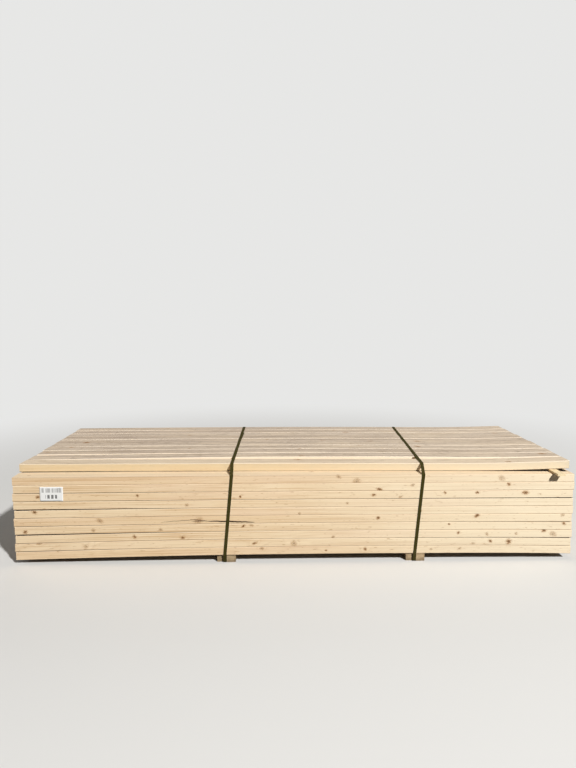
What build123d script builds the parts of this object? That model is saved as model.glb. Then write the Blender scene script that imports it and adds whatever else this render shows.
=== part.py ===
"""Strapped stack of framing lumber, standing on two pairs of runners.

Ten full courses of 2x4 studs lie flat, with a narrower top course on them. The studs
sag past the runners and crown a little between them, the bottom course most. A thin
lath lies across the stack under the top course and lifts its right end. Two plastic
straps go round everything, runners included, and each ends in a short tail that is
welded on itself. A paper tag is fixed to the front.

While the pieces are built, X runs along the studs from the middle of their length,
Y runs back from the front face of the courses, and Z is up from the ground. The
finished stack is then centred on its origin. Sizes are in millimetres.
"""
import os
from math import hypot

from build123d import *

# Studs
BOARD_LENGTH = 2657.0
BOARD_WIDTH = 89.0
BOARD_THICKNESS = 38.5
EASED_EDGE = 2.5
END_STAGGER = 3.0

# Full courses
FULL_COURSES = 10
BOARDS_PER_COURSE = 12
BOARD_GAP = 0.8
SEAT_GAP = 0.3

# Sag of each course's ends below its seats on the runners, bottom course first, and the
# share of it that a course has halfway out
LEFT_SAGS = (15.5, 13.5, 12.0, 8.5, 7.5, 6.5, 3.5, 3.2, 3.0, 2.8)
RIGHT_SAGS = (8.4, 7.8, 5.5, 5.0, 3.2, 2.8, 2.4, 0.8, 0.6, 0.5)
BOTTOM_CROWN = 1.9
LEFT_MIDWAY_SHARE = 0.38
RIGHT_MIDWAY_SHARE = 0.27

# Top course: the front edge of each board at the left and at the right end, and how far
# each board bows back between them, most of it right of the middle
TOP_BOARDS = 10
TOP_LEDGE_LEFT = 92.0
TOP_LEDGE_RIGHT = 48.0
TOP_GAPS_LEFT = (4.0, 16.0, 1.5, 1.2, 1.0, 1.0, 1.0, 1.0, 1.0)
TOP_GAPS_RIGHT = (9.0, 3.0, 4.0, 4.0, 2.0, 2.0, 1.5, 1.5, 1.0)
TOP_BOWS = (13.0, 58.0, 52.0, 50.5, 49.0, 48.0, 47.2, 46.5, 45.9, 45.5)
BOW_SKEW = 0.35

# Lath under the right end of the top course
LATH_WIDTH = 38.0
LATH_THICKNESS = 9.5
LATH_OVERHANG = 40.0
LATH_FROM_END = 62.5
LATH_LENGTH = 1100.0
LIFT_RUN = 450.0

# Runners: two pieces side by side under each strap
RUNNER_WIDTH = 43.0
RUNNER_HEIGHT = 38.0
RUNNER_GAP = 3.0
RUNNER_LEFT_X = -336.0
RUNNER_RIGHT_X = 573.0
RUNNER_LEFT_INSETS = (14.0, 8.0)
RUNNER_RIGHT_INSETS = (8.0, 2.0)
RUNNER_SHORTFALL = 16.8
RUNNER_EDGE = 1.5
RUNNER_PAIR_WIDTH = 2 * RUNNER_WIDTH + RUNNER_GAP

# Straps
STRAP_WIDTH = 16.0
STRAP_THICKNESS = 0.9
STRAP_CLEARANCE = 0.2
TAIL_LENGTH = 230.0

# Paper tag on the front
TAG_WIDTH = 108.0
TAG_HEIGHT = 68.0
TAG_THICKNESS = 0.4
TAG_FROM_LEFT_END = 125.0
TAG_BOTTOM_Z = 310.0

# Where each strap crosses the edges of the stack, along X
STRAP_LEFT_X = {
    "runner_front": -343.0,
    "front_bottom": -343.0,
    "front_top": -308.0,
    "top_front": -311.0,
    "top_back": -295.0,
    "back_top": -297.0,
    "back_bottom": -330.0,
    "runner_back": -333.0,
}
STRAP_RIGHT_X = {
    "runner_front": 568.0,
    "front_bottom": 569.0,
    "front_top": 602.0,
    "top_front": 610.0,
    "top_back": 663.0,
    "back_top": 664.0,
    "back_bottom": 590.0,
    "runner_back": 584.0,
}
TAIL_LEFT_END_Y = 833.0
TAIL_LEFT_SKEW = 5.0
TAIL_RIGHT_END_Y = 204.0
TAIL_RIGHT_SKEW = -6.0

# The courses bear on the outer edge of each pair of runners
LEFT_SEAT_X = RUNNER_LEFT_X - RUNNER_PAIR_WIDTH / 2
RIGHT_SEAT_X = RUNNER_RIGHT_X + RUNNER_PAIR_WIDTH / 2

COURSE_PITCH = BOARD_THICKNESS + SEAT_GAP
BOARD_PITCH = BOARD_WIDTH + BOARD_GAP
STACK_DEPTH = BOARDS_PER_COURSE * BOARD_PITCH - BOARD_GAP
RUNNER_LENGTH = STACK_DEPTH - RUNNER_SHORTFALL
FIRST_COURSE_Z = RUNNER_HEIGHT + SEAT_GAP
TOP_COURSE_Z = FIRST_COURSE_Z + FULL_COURSES * COURSE_PITCH
COURSES_TOP_Z = TOP_COURSE_Z - SEAT_GAP
STACK_TOP_Z = TOP_COURSE_Z + BOARD_THICKNESS


def stagger(course, place):
    """Return how far a board sticks out along X, from a repeating pattern."""
    steps = 11
    return END_STAGGER * (2 * ((7 * course + 5 * place) % steps) / (steps - 1) - 1)


def bent_board(bends):
    """Return a board whose underside follows (X, Z) bends, its front edge at Y 0.

    Its ends are square to its first and last lengths, and its long edges are eased.
    """
    first, second = bends[0], bends[1]
    last_but_one, last = bends[-2], bends[-1]
    left_lean = BOARD_THICKNESS * (second[1] - first[1]) / (second[0] - first[0])
    right_lean = BOARD_THICKNESS * (last[1] - last_but_one[1]) / (last[0] - last_but_one[0])
    upper = [(x, z + BOARD_THICKNESS) for x, z in bends]
    upper[0] = (first[0] - left_lean, first[1] + BOARD_THICKNESS)
    upper[-1] = (last[0] - right_lean, last[1] + BOARD_THICKNESS)
    corners = [(x, 0, z) for x, z in [*bends, *reversed(upper)]]
    board = extrude(make_face(Polyline(corners, close=True)), BOARD_WIDTH, dir=(0, 1, 0))
    long_edges = [edge for edge in board.edges() if edge.length > BOARD_WIDTH + 1]
    return chamfer(long_edges, EASED_EDGE).solid()


def sagging_board(left_sag, right_sag, crown):
    """Return a board that crowns between the runners and sags past them.

    Its underside is at Z 0 over the runners.
    """
    half = BOARD_LENGTH / 2
    return bent_board(
        [
            (-half, -left_sag),
            ((LEFT_SEAT_X - half) / 2, -left_sag * LEFT_MIDWAY_SHARE),
            (LEFT_SEAT_X, 0),
            ((LEFT_SEAT_X + RIGHT_SEAT_X) / 2, crown),
            (RIGHT_SEAT_X, 0),
            ((RIGHT_SEAT_X + half) / 2, -right_sag * RIGHT_MIDWAY_SHARE),
            (half, -right_sag),
        ]
    )


def course(number):
    """Return the boards of a full course, counted from 1 at the bottom."""
    level = (number - 1) / FULL_COURSES
    crown = BOTTOM_CROWN * (1 - level)
    board = sagging_board(LEFT_SAGS[number - 1], RIGHT_SAGS[number - 1], crown)
    z = FIRST_COURSE_Z + (number - 1) * COURSE_PITCH
    places = range(BOARDS_PER_COURSE)
    return [Pos(stagger(number, place), place * BOARD_PITCH, z) * board for place in places]


def top_fronts(ledge, gaps):
    """Return the front edge of each top board at one end of the stack."""
    fronts = [ledge]
    for gap in gaps[: TOP_BOARDS - 1]:
        fronts.append(fronts[-1] + BOARD_WIDTH + gap)
    return fronts


LEFT_FRONTS = top_fronts(TOP_LEDGE_LEFT, TOP_GAPS_LEFT)
RIGHT_FRONTS = top_fronts(TOP_LEDGE_RIGHT, TOP_GAPS_RIGHT)


def bowed_front(place, x):
    """Return the curve of a top board's front edge at one place along X."""
    left, right = LEFT_FRONTS[place], RIGHT_FRONTS[place]
    u = 2 * x / BOARD_LENGTH
    bow = TOP_BOWS[place] * (1 - u * u) * (1 + BOW_SKEW * u)
    return left + (right - left) * (1 + u) / 2 + bow


def top_bends(place):
    """Return the (X, Y, Z) bends of a top board's front bottom edge.

    From above they follow the board's bow, and from the front they lie flat and bend up
    over the lath.
    """
    half = BOARD_LENGTH / 2
    lath_x = half - LATH_FROM_END - LATH_WIDTH
    flat_end = lath_x - LIFT_RUN
    lift = LATH_THICKNESS + SEAT_GAP
    slope = 2 * lift / LIFT_RUN
    level = [(share * half, 0) for share in (-1.0, -0.6, -0.2, 0.2, 0.45)]
    raised = [
        (flat_end, 0),
        (flat_end + LIFT_RUN / 2, lift / 4),
        (lath_x, lift),
        (half, lift + slope * (half - lath_x)),
    ]
    return [(x, bowed_front(place, x), z) for x, z in level + raised]


def top_front_at(place, x):
    """Return where the straight lengths put a top board's front edge at one place."""
    bends = top_bends(place)
    for (x0, y0, _), (x1, y1, _) in zip(bends, bends[1:]):
        if x <= x1:
            break
    return y0 + (y1 - y0) * (x - x0) / (x1 - x0)


def top_board(place):
    """Return a board of the top course, as straight lengths between its bends.

    Every section has eased corners, and the two ends are square to their lengths.
    """
    bends = [Vector(*bend) for bend in top_bends(place)]
    ease, wide, thick = EASED_EDGE, BOARD_WIDTH, BOARD_THICKNESS
    corners = [
        (ease, 0),
        (wide - ease, 0),
        (wide, ease),
        (wide, thick - ease),
        (wide - ease, thick),
        (ease, thick),
        (0, thick - ease),
        (0, ease),
    ]
    sections = []
    for number, bend in enumerate(bends):
        points = [bend + Vector(0, y, z) for y, z in corners]
        if number in (0, len(bends) - 1):
            inner = bends[1] if number == 0 else bends[-2]
            run = (bend - inner) * (1 / (bend.X - inner.X))
            middle = bend + Vector(0, wide / 2, thick / 2)
            points = [point + run * (middle - point).dot(run) for point in points]
        sections.append(make_face(Polyline(points, close=True)))
    return loft(sections, ruled=True).solid()


def top_course():
    """Return the boards of the top course, each on its own bowed line."""
    return [
        Pos(stagger(FULL_COURSES + 1, place), 0, TOP_COURSE_Z) * top_board(place)
        for place in range(TOP_BOARDS)
    ]


def runner_pair(centre_x, insets, strap_xs):
    """Return two runners with the strap's shallow bite across their undersides."""
    bite_depth = STRAP_THICKNESS + STRAP_CLEARANCE
    pieces = []
    for side, inset in zip((-1, 1), insets):
        x = centre_x + side * (RUNNER_GAP + RUNNER_WIDTH) / 2
        blank = Pos(x, inset + RUNNER_LENGTH / 2, RUNNER_HEIGHT / 2) * Box(
            RUNNER_WIDTH, RUNNER_LENGTH, RUNNER_HEIGHT
        )
        blank = chamfer(blank.edges().filter_by(Axis.Y), RUNNER_EDGE)
        pieces.append(blank)
    front_y = min(insets)
    back_y = max(insets) + RUNNER_LENGTH
    skew = (strap_xs["runner_back"] - strap_xs["runner_front"]) / (back_y - front_y)
    past = RUNNER_HEIGHT
    bite = strap_run(
        (strap_xs["runner_front"] - skew * past, front_y - past, 0),
        (strap_xs["runner_back"] + skew * past, back_y + past, 0),
        (0, 0, 1),
        STRAP_WIDTH + 4 * STRAP_CLEARANCE,
        bite_depth,
    )
    return [(piece - bite).solid() for piece in pieces]


def strap_run(start, end, outward, width, thickness):
    """Return one straight run of strap between two edges of the stack."""
    half = width / 2
    corners = [
        (start[0] - half, start[1], start[2]),
        (start[0] + half, start[1], start[2]),
        (end[0] + half, end[1], end[2]),
        (end[0] - half, end[1], end[2]),
    ]
    return extrude(make_face(Polyline(corners, close=True)), thickness, dir=outward)


def strap_corner(x, corner, normal_in, normal_out):
    """Return the strap's bend over one edge, between the normals of its two runs."""
    centre = Vector(x - STRAP_WIDTH / 2, *corner)
    start = centre + Vector(0, *normal_in) * STRAP_THICKNESS
    end = centre + Vector(0, *normal_out) * STRAP_THICKNESS
    between = Vector(0, normal_in[0] + normal_out[0], normal_in[1] + normal_out[1]).normalized()
    rim = ThreePointArc(start, centre + between * STRAP_THICKNESS, end)
    outline = Wire([Line(centre, start).edge(), rim.edge(), Line(end, centre).edge()])
    return extrude(make_face(outline), STRAP_WIDTH, dir=(1, 0, 0))


def strap(xs, runner_insets, tail_end_y, tail_skew):
    """Return a closed strap round the stack with its welded tail on top."""
    sides = (-STRAP_WIDTH / 2, STRAP_WIDTH / 2)
    top_front_y = min(top_front_at(0, xs["top_front"] + side) for side in sides)
    last_front = max(top_front_at(TOP_BOARDS - 1, xs["top_back"] + side) for side in sides)
    clear = STRAP_CLEARANCE
    floor = STRAP_THICKNESS
    edges = {
        "runner_front": (min(runner_insets) - clear, floor),
        "front_bottom": (-clear, FIRST_COURSE_Z),
        "front_top": (-clear, COURSES_TOP_Z),
        "top_front": (top_front_y - clear, STACK_TOP_Z + clear),
        "top_back": (last_front + BOARD_WIDTH + clear, STACK_TOP_Z + clear),
        "back_top": (STACK_DEPTH + clear, COURSES_TOP_Z),
        "back_bottom": (STACK_DEPTH + clear, FIRST_COURSE_Z),
        "runner_back": (max(runner_insets) + RUNNER_LENGTH + clear, floor),
    }
    names = list(edges)
    following = names[1:] + names[:1]
    normals = {}
    for name, after in zip(names, following):
        dy = edges[after][0] - edges[name][0]
        dz = edges[after][1] - edges[name][1]
        length = hypot(dy, dz)
        normals[name] = (-dz / length, dy / length)
    band = []
    for name, after in zip(names, following):
        start = (xs[name], *edges[name])
        end = (xs[after], *edges[after])
        band.append(strap_run(start, end, (0, *normals[name]), STRAP_WIDTH, STRAP_THICKNESS))
        band.append(strap_corner(xs[after], edges[after], normals[name], normals[after]))
    band.append(strap_tail(xs, edges, tail_end_y, tail_skew))
    return band[0].fuse(*band[1:]).solid()


def strap_tail(xs, edges, end_y, skew):
    """Return the strap's free end, welded on the top run and a little askew."""
    front_y, top_z = edges["top_front"]
    back_y = edges["top_back"][0]

    def centre_x(y):
        share = (y - front_y) / (back_y - front_y)
        return xs["top_front"] + (xs["top_back"] - xs["top_front"]) * share

    start_y = max(end_y - TAIL_LENGTH, front_y)
    z = top_z + STRAP_THICKNESS
    start = (centre_x(start_y), start_y, z)
    end = (centre_x(end_y) + skew, end_y, z)
    return strap_run(start, end, (0, 0, 1), STRAP_WIDTH, STRAP_THICKNESS)


def lath():
    """Return the thin lath that lies across the courses and sticks out in front."""
    x = BOARD_LENGTH / 2 - LATH_FROM_END - LATH_WIDTH / 2
    y = LATH_LENGTH / 2 - LATH_OVERHANG
    z = COURSES_TOP_Z + SEAT_GAP / 2 + LATH_THICKNESS / 2
    return Pos(x, y, z) * Box(LATH_WIDTH, LATH_LENGTH, LATH_THICKNESS)


def tag():
    """Return the paper tag on the front of the courses."""
    x = TAG_FROM_LEFT_END + TAG_WIDTH / 2 - BOARD_LENGTH / 2
    y = -STRAP_CLEARANCE - TAG_THICKNESS / 2
    z = TAG_BOTTOM_Z + TAG_HEIGHT / 2
    return Pos(x, y, z) * Box(TAG_WIDTH, TAG_THICKNESS, TAG_HEIGHT)


def stack_parts():
    """Return every named piece of the stack, before it is centred."""
    pieces = {f"course_{number:02d}": course(number) for number in range(1, FULL_COURSES + 1)}
    pieces["top_course"] = top_course()
    pieces["runner_left"] = runner_pair(RUNNER_LEFT_X, RUNNER_LEFT_INSETS, STRAP_LEFT_X)
    pieces["runner_right"] = runner_pair(RUNNER_RIGHT_X, RUNNER_RIGHT_INSETS, STRAP_RIGHT_X)
    pieces["strap_left"] = [
        strap(STRAP_LEFT_X, RUNNER_LEFT_INSETS, TAIL_LEFT_END_Y, TAIL_LEFT_SKEW)
    ]
    pieces["strap_right"] = [
        strap(STRAP_RIGHT_X, RUNNER_RIGHT_INSETS, TAIL_RIGHT_END_Y, TAIL_RIGHT_SKEW)
    ]
    pieces["lath"] = [lath()]
    pieces["tag"] = [tag()]
    return pieces


def main():
    """Centre the stack over its origin and write one STEP file for each named piece."""
    front_y = -LATH_OVERHANG
    back_y = STACK_DEPTH + STRAP_CLEARANCE + STRAP_THICKNESS
    to_origin = Pos(0, -(front_y + back_y) / 2, 0)
    os.makedirs("parts", exist_ok=True)
    for name, solids in stack_parts().items():
        moved = [to_origin * solid for solid in solids]
        shape = moved[0] if len(moved) == 1 else Compound(moved)
        export_step(shape, f"parts/{name}.step")
    print(f"{FULL_COURSES * BOARDS_PER_COURSE + TOP_BOARDS} boards, {STACK_TOP_Z:.1f} mm high")


main()
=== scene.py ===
"""Looks of a strapped stack of framing studs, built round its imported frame.

The studs, the paper tag and its staples are made here. The runners, the lath and the
straps keep the frame's own meshes and get a finish. Sizes in the classes are in
millimetres, and meshes are in metres in the frame's axes: +X along the studs, -Y towards
the camera, +Z up.
"""
import logging
from dataclasses import dataclass, field
from enum import Enum
from functools import reduce
from math import atan2, cos, pi, radians, sin

import bmesh
import bpy
from mathutils import Matrix, Vector

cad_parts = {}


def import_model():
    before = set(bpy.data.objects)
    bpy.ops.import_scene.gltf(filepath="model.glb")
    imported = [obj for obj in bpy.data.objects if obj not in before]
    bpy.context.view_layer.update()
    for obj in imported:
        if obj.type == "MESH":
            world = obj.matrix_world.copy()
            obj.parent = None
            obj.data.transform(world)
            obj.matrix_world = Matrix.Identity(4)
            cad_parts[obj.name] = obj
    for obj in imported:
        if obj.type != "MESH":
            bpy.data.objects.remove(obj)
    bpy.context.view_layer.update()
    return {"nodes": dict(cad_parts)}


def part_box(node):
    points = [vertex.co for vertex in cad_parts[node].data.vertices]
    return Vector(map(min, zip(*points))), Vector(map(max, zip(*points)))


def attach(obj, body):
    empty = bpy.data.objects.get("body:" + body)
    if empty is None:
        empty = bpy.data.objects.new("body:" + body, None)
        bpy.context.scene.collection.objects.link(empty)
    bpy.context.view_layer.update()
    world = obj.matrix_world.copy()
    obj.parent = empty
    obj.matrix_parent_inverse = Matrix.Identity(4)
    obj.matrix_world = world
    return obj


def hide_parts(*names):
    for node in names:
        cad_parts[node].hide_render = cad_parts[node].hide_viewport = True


LOG = logging.getLogger("stack")
MM = 0.001
Socket = bpy.types.NodeSocket

BOARD_LENGTH = 2657.0
BOARD_WIDTH = 89.0
BOARD_THICKNESS = 38.5
BOARD_GAP = 0.8
BOARDS_PER_COURSE = 12
END_STAGGER = 3.0
RUNNER_HEIGHT = 38.0
RUNNER_LEFT_X = -336.0
RUNNER_RIGHT_X = 573.0
LEFT_SEAT_X = -380.5
RIGHT_SEAT_X = 617.5
SEAT_GAP = 0.3
LIFT_START_X = 778.0
LIFT_RUN = 450.0
BOW_SKEW = 0.35
COURSE_PITCH = BOARD_THICKNESS + SEAT_GAP
FIRST_COURSE_Z = RUNNER_HEIGHT + SEAT_GAP
FULL_COURSES = 10
FRONT_Y = -518.95


def srgb(code: str) -> tuple[float, float, float, float]:
    """Turn a six-digit colour code into linear red, green, blue and alpha.

    Args:
        code: Colour as six hexadecimal digits.

    Returns:
        The linear colour with an alpha of 1.
    """
    parts = [int(code[i : i + 2], 16) / 255 for i in (0, 2, 4)]
    linear = [p / 12.92 if p <= 0.04045 else ((p + 0.055) / 1.055) ** 2.4 for p in parts]
    return (linear[0], linear[1], linear[2], 1.0)


class Graph:
    """Adds nodes to one node tree and joins them."""

    def __init__(self, tree: bpy.types.NodeTree) -> None:
        """Keep the tree that the nodes go to."""
        self.tree = tree

    def node(self, kind: str, inputs: dict | None = None, **settings: object) -> bpy.types.Node:
        """Add a node, set its options and fill its inputs.

        Args:
            kind: Blender's name for the node type.
            inputs: Values or sockets by input name or number.
            settings: Options set on the node itself, before its inputs.

        Returns:
            The new node.
        """
        made = self.tree.nodes.new(kind)
        for name, value in settings.items():
            setattr(made, name, value)
        for key, value in (inputs or {}).items():
            self.fill(self.pick(made.inputs, key), value)
        return made

    @staticmethod
    def pick(sockets: object, key: str | int) -> Socket:
        """Return the enabled socket with this name, or the one at this number."""
        if isinstance(key, int):
            return sockets[key]
        return next(s for s in sockets if s.name == key and s.enabled)

    def fill(self, socket: Socket, value: object) -> None:
        """Link a socket to an input, or set the input's value."""
        if isinstance(value, Socket):
            self.tree.links.new(value, socket)
        elif value is not None:
            socket.default_value = value

    def out(self, kind: str, inputs: dict | None = None, **settings: object) -> Socket:
        """Add a node and return its first output."""
        return self.node(kind, inputs, **settings).outputs[0]

    def math(self, operation: str, *values: object) -> Socket:
        """Add a Math node and return its result."""
        return self.out("ShaderNodeMath", dict(enumerate(values)), operation=operation)

    def mul(self, *values: object) -> Socket:
        """Return the product of the values."""
        return reduce(lambda a, b: self.math("MULTIPLY", a, b), values)

    def add(self, *values: object) -> Socket:
        """Return the sum of the values."""
        return reduce(lambda a, b: self.math("ADD", a, b), values)

    def sub(self, a: object, b: object) -> Socket:
        """Return the first value less the second."""
        return self.math("SUBTRACT", a, b)

    def div(self, a: object, b: object) -> Socket:
        """Return the first value divided by the second."""
        return self.math("DIVIDE", a, b)

    def mad(self, a: object, b: object, c: object) -> Socket:
        """Return the product of two values plus a third."""
        return self.math("MULTIPLY_ADD", a, b, c)

    def least(self, a: object, b: object) -> Socket:
        """Return the smaller of two values."""
        return self.math("MINIMUM", a, b)

    def most(self, a: object, b: object) -> Socket:
        """Return the larger of two values."""
        return self.math("MAXIMUM", a, b)

    def vector(self, operation: str, a: object, b: object = None, scale: object = None) -> Socket:
        """Add a Vector Math node and return its vector or its length."""
        made = self.node("ShaderNodeVectorMath", {0: a, 1: b}, operation=operation)
        if scale is not None:
            self.fill(self.pick(made.inputs, "Scale"), scale)
        return made.outputs[1] if operation == "LENGTH" else made.outputs[0]

    def split(self, vector: object) -> tuple[Socket, ...]:
        """Return the X, Y and Z of a vector."""
        return tuple(self.node("ShaderNodeSeparateXYZ", {0: vector}).outputs)

    def join(self, x: object = 0.0, y: object = 0.0, z: object = 0.0) -> Socket:
        """Return the vector with these parts."""
        return self.node("ShaderNodeCombineXYZ", {0: x, 1: y, 2: z}).outputs[0]

    def spread(
        self, value: object, low: float, high: float, to_low: float = 0.0, to_high: float = 1.0
    ) -> Socket:
        """Map a value smoothly from one range to another, clamped at both ends."""
        names = ("Value", "From Min", "From Max", "To Min", "To Max")
        inputs = dict(zip(names, (value, low, high, to_low, to_high)))
        return self.out("ShaderNodeMapRange", inputs, interpolation_type="SMOOTHSTEP")

    def window(self, value: object, start: float, full: float, last: float, end: float) -> Socket:
        """Return 1 from full to last and 0 before start and after end, with soft edges."""
        return self.mul(self.spread(value, start, full), self.spread(value, end, last))


class ShaderGraph(Graph):
    """Adds the nodes of one material."""

    def __init__(self, name: str) -> None:
        """Make a material with an empty tree, an output and a main shader.

        Args:
            name: Name of the material.
        """
        self.material = bpy.data.materials.new(name)
        self.material.use_nodes = True
        super().__init__(self.material.node_tree)
        self.tree.nodes.clear()
        self.surface = self.node("ShaderNodeBsdfPrincipled")
        output = self.node("ShaderNodeOutputMaterial")
        self.tree.links.new(self.surface.outputs[0], output.inputs[0])

    def object_place(self) -> Socket:
        """Return the place in the object's own axes, which are the frame's."""
        return self.node("ShaderNodeTexCoord").outputs["Object"]

    def attribute(self, name: str, output: str = "Vector") -> Socket:
        """Return an attribute of the mesh."""
        return self.node("ShaderNodeAttribute", attribute_name=name).outputs[output]

    def noise(
        self, place: object, scale: float, detail: float = 3.0, rough: float = 0.5, colour: bool = False
    ) -> Socket:
        """Return a noise value, or its colour as a vector."""
        inputs = {"Vector": place, "Scale": scale, "Detail": detail, "Roughness": rough}
        return self.node("ShaderNodeTexNoise", inputs).outputs["Color" if colour else 0]

    def stretch(self, place: object, scale: tuple[float, float, float]) -> Socket:
        """Return a place scaled by a different amount along each axis."""
        return self.vector("MULTIPLY", place, scale)

    def grain(
        self, place: object, scale: tuple[float, float, float], detail: float, rough: float = 0.5
    ) -> Socket:
        """Return noise that is drawn out by a different amount along each axis."""
        return self.noise(self.stretch(place, scale), 1.0, detail, rough)

    def mix(self, share: object, under: object, over: object) -> Socket:
        """Blend one colour over another by a share."""
        return self.node("ShaderNodeMix", {0: share, 6: under, 7: over}, data_type="RGBA").outputs[2]

    def tint(self, base: object, share: object, code: str) -> Socket:
        """Blend a colour over a base by a share."""
        return self.mix(share, base, srgb(code))

    def tints(self, base: object, *rows: tuple[object, float, float, float, str]) -> Socket:
        """Blend colours over a base, one after another.

        Args:
            base: Colour to start from.
            rows: For each colour a value, where on it the colour starts and where it is
                full, its greatest share and its code.

        Returns:
            The blended colour.
        """
        for value, start, full, share, code in rows:
            base = self.tint(base, self.spread(value, start, full, 0.0, share), code)
        return base

    def ramp(self, value: object, stops: list[tuple[float, object]]) -> Socket:
        """Return the colour that a ramp has at a value.

        Args:
            value: Where on the ramp to look.
            stops: Place and colour of each stop, in order.

        Returns:
            The ramp's colour.
        """
        made = self.node("ShaderNodeValToRGB", {0: value})
        ramp = made.color_ramp
        while len(ramp.elements) < len(stops):
            ramp.elements.new(0.5)
        for element, (place, colour) in zip(ramp.elements, stops):
            element.position = place
            element.color = srgb(colour) if isinstance(colour, str) else (colour, colour, colour, 1.0)
        return made.outputs[0]

    def finish(
        self,
        colour: object,
        rough: object,
        height: object = None,
        relief: float = 0.0,
        strength: float = 0.0,
        **sockets: object,
    ) -> bpy.types.Material:
        """Fill the main shader and return the material.

        Args:
            colour: Base colour.
            rough: Roughness.
            height: Height field for the bump, from 0 to 1.
            relief: Depth of the bump in metres.
            strength: Strength of the bump.
            sockets: Plain values for other inputs of the shader, by name.

        Returns:
            The finished material.
        """
        self.fill(self.surface.inputs["Base Color"], colour)
        self.fill(self.surface.inputs["Roughness"], rough)
        for name, value in sockets.items():
            self.fill(self.surface.inputs[name.replace("_", " ")], value)
        if height is not None:
            bump = self.node("ShaderNodeBump", {"Strength": strength, "Distance": relief, "Height": height})
            self.fill(self.surface.inputs["Normal"], bump.outputs["Normal"])
        return self.material


class KnotKind(Enum):
    """How dark a knot is on the face of a stud, from 0 to 1."""

    TIGHT = 0.62
    FAINT = 0.36
    DARK = 1.0
    SWIRL = 0.32


@dataclass(frozen=True)
class Knot:
    """One knot on the front of the stack."""

    x: float
    z: float
    radius: float
    kind: KnotKind

    @property
    def stretch(self) -> float:
        """How much the knot is drawn out along the board, from its own place."""
        return 0.48 + 0.50 * ((self.x * 0.37) % 1.0)

    @property
    def tilt(self) -> float:
        """How far the knot is turned from the run of the board, in radians."""
        return 0.6 * (2 * ((self.x * 0.53 + self.z * 0.29) % 1.0) - 1)


T, F, D, S = KnotKind.TIGHT, KnotKind.FAINT, KnotKind.DARK, KnotKind.SWIRL
# By course: X, Z and radius of every knot on the front, in millimetres, and its kind.
FRONT_KNOTS = {
    1: (
        (-1131, 69, 6, F), (-167, 69, 6, F), (141, 58, 4, D), (329, 61, 8, T),
        (648, 59, 6, F), (787, 61, 6, F),
    ),
    2: (
        (-1216, 104, 7, F), (-998, 88, 9, F), (-200, 96, 7, T), (-14, 92, 13, S),
        (852, 86, 6, F), (934, 97, 8, T), (1024, 93, 14, T),
    ),
    3: (
        (-769, 133, 8, T), (-542, 127, 8, T), (174, 123, 6, F), (778, 140, 8, T),
        (917, 131, 6, F), (1059, 134, 7, F), (1195, 146, 8, T), (1239, 129, 12, S),
    ),
    4: (
        (-1279, 160, 9, T), (-960, 166, 9, F), (-644, 167, 7, F), (-254, 181, 5, D),
        (-216, 185, 6, F), (732, 182, 6, D), (1290, 181, 7, T),
    ),
    5: ((-929, 212, 10, F), (-466, 210, 15, S), (389, 216, 9, T), (866, 224, 10, T), (1283, 224, 8, F)),
    6: ((-1232, 256, 8, T), (13, 241, 6, F), (590, 250, 6, F)),
    7: ((-520, 286, 7, F), (240, 290, 6, F)),
    8: (
        (-1213, 329, 7, T), (-750, 333, 7, T), (-268, 324, 6, D), (366, 330, 8, T),
        (495, 319, 6, F), (708, 338, 7, T), (863, 338, 7, T), (1095, 335, 10, T),
    ),
    9: ((392, 357, 8, T), (552, 377, 6, F), (1013, 378, 9, T)),
    10: ((198, 418, 7, F), (283, 396, 15, S), (977, 408, 12, S)),
    11: ((-1167, 446, 6, D), (-171, 442, 6, D), (329, 449, 7, T), (547, 443, 6, D)),
}


@dataclass(frozen=True)
class Split:
    """One dark split along the front of the stack."""

    start: tuple[float, float]
    end: tuple[float, float]
    half_width: float

    def share(self, graph: ShaderGraph) -> Socket:
        """Return how much of the split shows at each place.

        Args:
            graph: Graph of the material.

        Returns:
            A share from 0 to 1, narrowing to nothing at both ends.
        """
        place = graph.object_place()
        x, y, z = graph.split(place)
        along = graph.out("ShaderNodeMapRange", {0: x, 1: self.start[0] * MM, 2: self.end[0] * MM})
        wave = graph.grain(place, (30.0, 0.0, 0.0), 2.0)
        middle = graph.mad(along, (self.end[1] - self.start[1]) * MM, self.start[1] * MM)
        middle = graph.mad(graph.sub(wave, 0.5), 0.006, middle)
        taper = graph.mul(along, graph.sub(1.0, along), 4.0)
        half = graph.mul(graph.math("SQRT", taper), self.half_width * MM)
        off = graph.math("ABSOLUTE", graph.sub(z, middle))
        inside = graph.div(off, graph.most(half, 0.00001))
        front = graph.math("LESS_THAN", y, (FRONT_Y + 3.0) * MM)
        return graph.mul(graph.spread(inside, 1.0, 0.7), front)


# By course: how dark the painted shade in the seam under it is at the left end, in the middle and at the
# right end.
SEAM_SHADES = {
    1: (0.00, 0.00, 0.00),
    2: (0.35, 0.25, 0.35),
    3: (0.20, 0.35, 0.80),
    4: (1.00, 0.20, 0.10),
    5: (0.35, 0.25, 0.40),
    6: (0.30, 0.20, 0.05),
    7: (1.00, 0.10, 0.15),
    8: (0.45, 0.45, 1.30),
    9: (0.70, 0.10, 0.15),
    10: (0.02, 0.02, 0.08),
    11: (1.00, 0.25, 0.50),
}

# By course: start, end and greatest half width of every split, in millimetres.
FRONT_SPLITS = {
    5: (
        ((-640, 203.5), (-468, 215), 1.1),
        ((-506, 214.5), (-420, 208), 1.7),
        ((-500, 205.5), (-430, 206.5), 1.1),
        ((-432, 207.8), (-200, 200), 3.8),
    ),
}


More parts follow.
